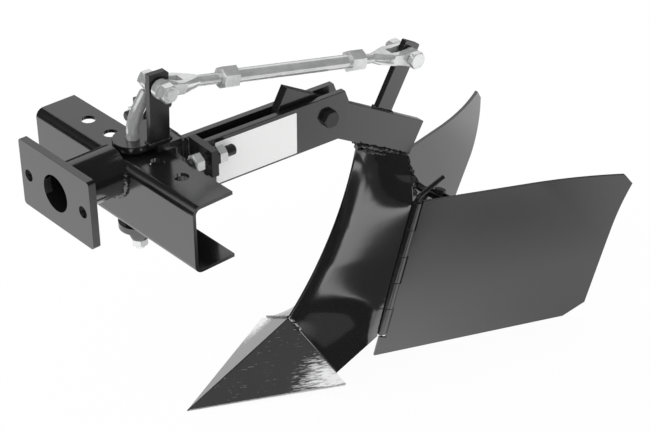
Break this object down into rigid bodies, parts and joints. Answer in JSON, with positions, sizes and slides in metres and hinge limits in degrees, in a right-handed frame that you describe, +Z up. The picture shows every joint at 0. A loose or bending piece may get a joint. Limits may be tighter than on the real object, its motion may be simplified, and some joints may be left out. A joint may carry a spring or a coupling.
{
  "type": "walk-behind ridger",
  "caption": "Ridging implement with a share point, curved breast and hinged wings on a swinging beam, with a pitch-setting turnbuckle and a bolted hitch.",
  "frame": {"origin": "centre of the hitch plate's front face, on the axis of its bore", "axes": "+Z up, +Y to the rear, +X to the implement's left"},
  "size_m": [0.3733, 0.7017, 0.4383],
  "materials": {
    "black_paint": "gloss black powder coat",
    "black_fastener": "black oxide",
    "share_steel": "satin dark steel with scuffed edges",
    "zinc": "bright zinc plate"
  },
  "bodies": {
    "hitch": {"hitch_plate": "black_paint", "hitch_tube": "black_paint", "cross_channel": "black_paint"},
    "kingpin": {"kingpin": "zinc", "king_collar": "black_paint", "king_nut": "zinc"},
    "beam": {"top_spacer": "black_paint", "bottom_spacer": "black_paint", "yoke_top_plate": "black_paint", "yoke_bottom_plate": "black_paint", "yoke_back_plate": "black_paint", "left_lug": "black_paint", "right_lug": "black_paint", "mast_post": "black_paint", "left_side_bar": "black_paint", "right_side_bar": "black_paint", "left_stop_rear_nut": "zinc", "right_stop_front_nut": "zinc", "right_stop_rear_nut": "zinc", "pivot_bolt": "black_fastener", "pivot_nut": "black_fastener", "left_pivot_washer": "black_paint", "right_pivot_washer": "black_paint", "front_clevis_bolt": "zinc", "front_clevis_nut": "zinc"},
    "left_stop": {"left_stop": "black_fastener", "left_stop_front_nut": "zinc"},
    "right_stop": {"right_stop": "black_fastener"},
    "share": {"share_bar": "black_paint", "link_strut": "black_paint", "left_flank": "black_paint", "right_flank": "black_paint", "share_point": "share_steel", "left_hinge_knuckles": "black_paint", "right_hinge_knuckles": "black_paint", "left_hinge_pin": "black_fastener", "right_hinge_pin": "black_fastener", "left_spread_lug": "black_paint", "right_spread_lug": "black_paint", "left_clamp_bolt": "black_fastener", "right_clamp_bolt": "black_fastener", "left_clamp_nut": "black_fastener", "right_clamp_nut": "black_fastener", "rear_clevis_bolt": "zinc", "rear_clevis_nut": "zinc"},
    "left_wing": {"left_wing": "black_paint", "left_wing_knuckles": "black_paint", "left_quadrant": "black_paint"},
    "right_wing": {"right_wing": "black_paint", "right_wing_knuckles": "black_paint", "right_quadrant": "black_paint"},
    "front_fork": {"front_fork": "zinc", "front_lock_nut": "zinc"},
    "sleeve": {"turnbuckle_sleeve": "zinc", "rear_lock_nut": "zinc"},
    "rear_fork": {"rear_fork": "zinc"}
  },
  "joints": [
    {"name": "swing", "type": "hinge", "parent": "hitch", "child": "beam", "pos_m": [0, 0.1017, 0], "axis": [0, 0, 1], "range_deg": [-0.5, 11.5]},
    {"name": "kingpin_turn", "type": "hinge", "parent": "hitch", "child": "kingpin", "pos_m": [0, 0.1017, 0], "axis": [0, 0, 1], "range_deg": [0, 150]},
    {"name": "left_stop_screw", "type": "slide", "parent": "beam", "child": "left_stop", "axis": [0.075, 0.9972, 0], "range_m": [0, 0.006]},
    {"name": "right_stop_screw", "type": "slide", "parent": "beam", "child": "right_stop", "axis": [0.075, 0.9972, 0], "range_m": [-0.012, 0.006]},
    {"name": "share_tilt", "type": "hinge", "parent": "beam", "child": "share", "pos_m": [0.05646, 0.31908, 0.001], "axis": [0.9972, -0.075, 0], "range_deg": [-4, 6]},
    {"name": "front_fork_pin", "type": "hinge", "parent": "beam", "child": "front_fork", "pos_m": [0.02371, 0.12023, 0.0925], "axis": [0.9972, -0.075, 0], "range_deg": [-1.72, 2.43]},
    {"name": "rear_fork_pin", "type": "hinge", "parent": "share", "child": "rear_fork", "pos_m": [0.06394, 0.44398, 0.03482], "axis": [0.9972, -0.075, 0], "range_deg": [-4.17, 2.88]},
    {"name": "sleeve_turn", "type": "hinge", "parent": "front_fork", "child": "sleeve", "pos_m": [0.02371, 0.12023, 0.0925], "axis": [0.1215, 0.9772, -0.1741], "range_deg": [-351.27, 524.41]},
    {"name": "left_wing_hinge", "type": "hinge", "parent": "share", "child": "left_wing", "pos_m": [0.10977, 0.3612, -0.324], "axis": [0.0149, -0.3372, -0.9413], "range_deg": [-8, 12]},
    {"name": "right_wing_hinge", "type": "hinge", "parent": "share", "child": "right_wing", "pos_m": [0.01005, 0.3687, -0.324], "axis": [0.0651, 0.3312, 0.9413], "range_deg": [-8, 12]}
  ],
  "couplings": [
    {"joint": "front_fork_pin", "follows": "share_tilt", "ratio": 0.35447},
    {"joint": "rear_fork_pin", "follows": "share_tilt", "ratio": -0.64553},
    {"joint": "sleeve_turn", "follows": "share_tilt", "ratio": 86.569}
  ]
}
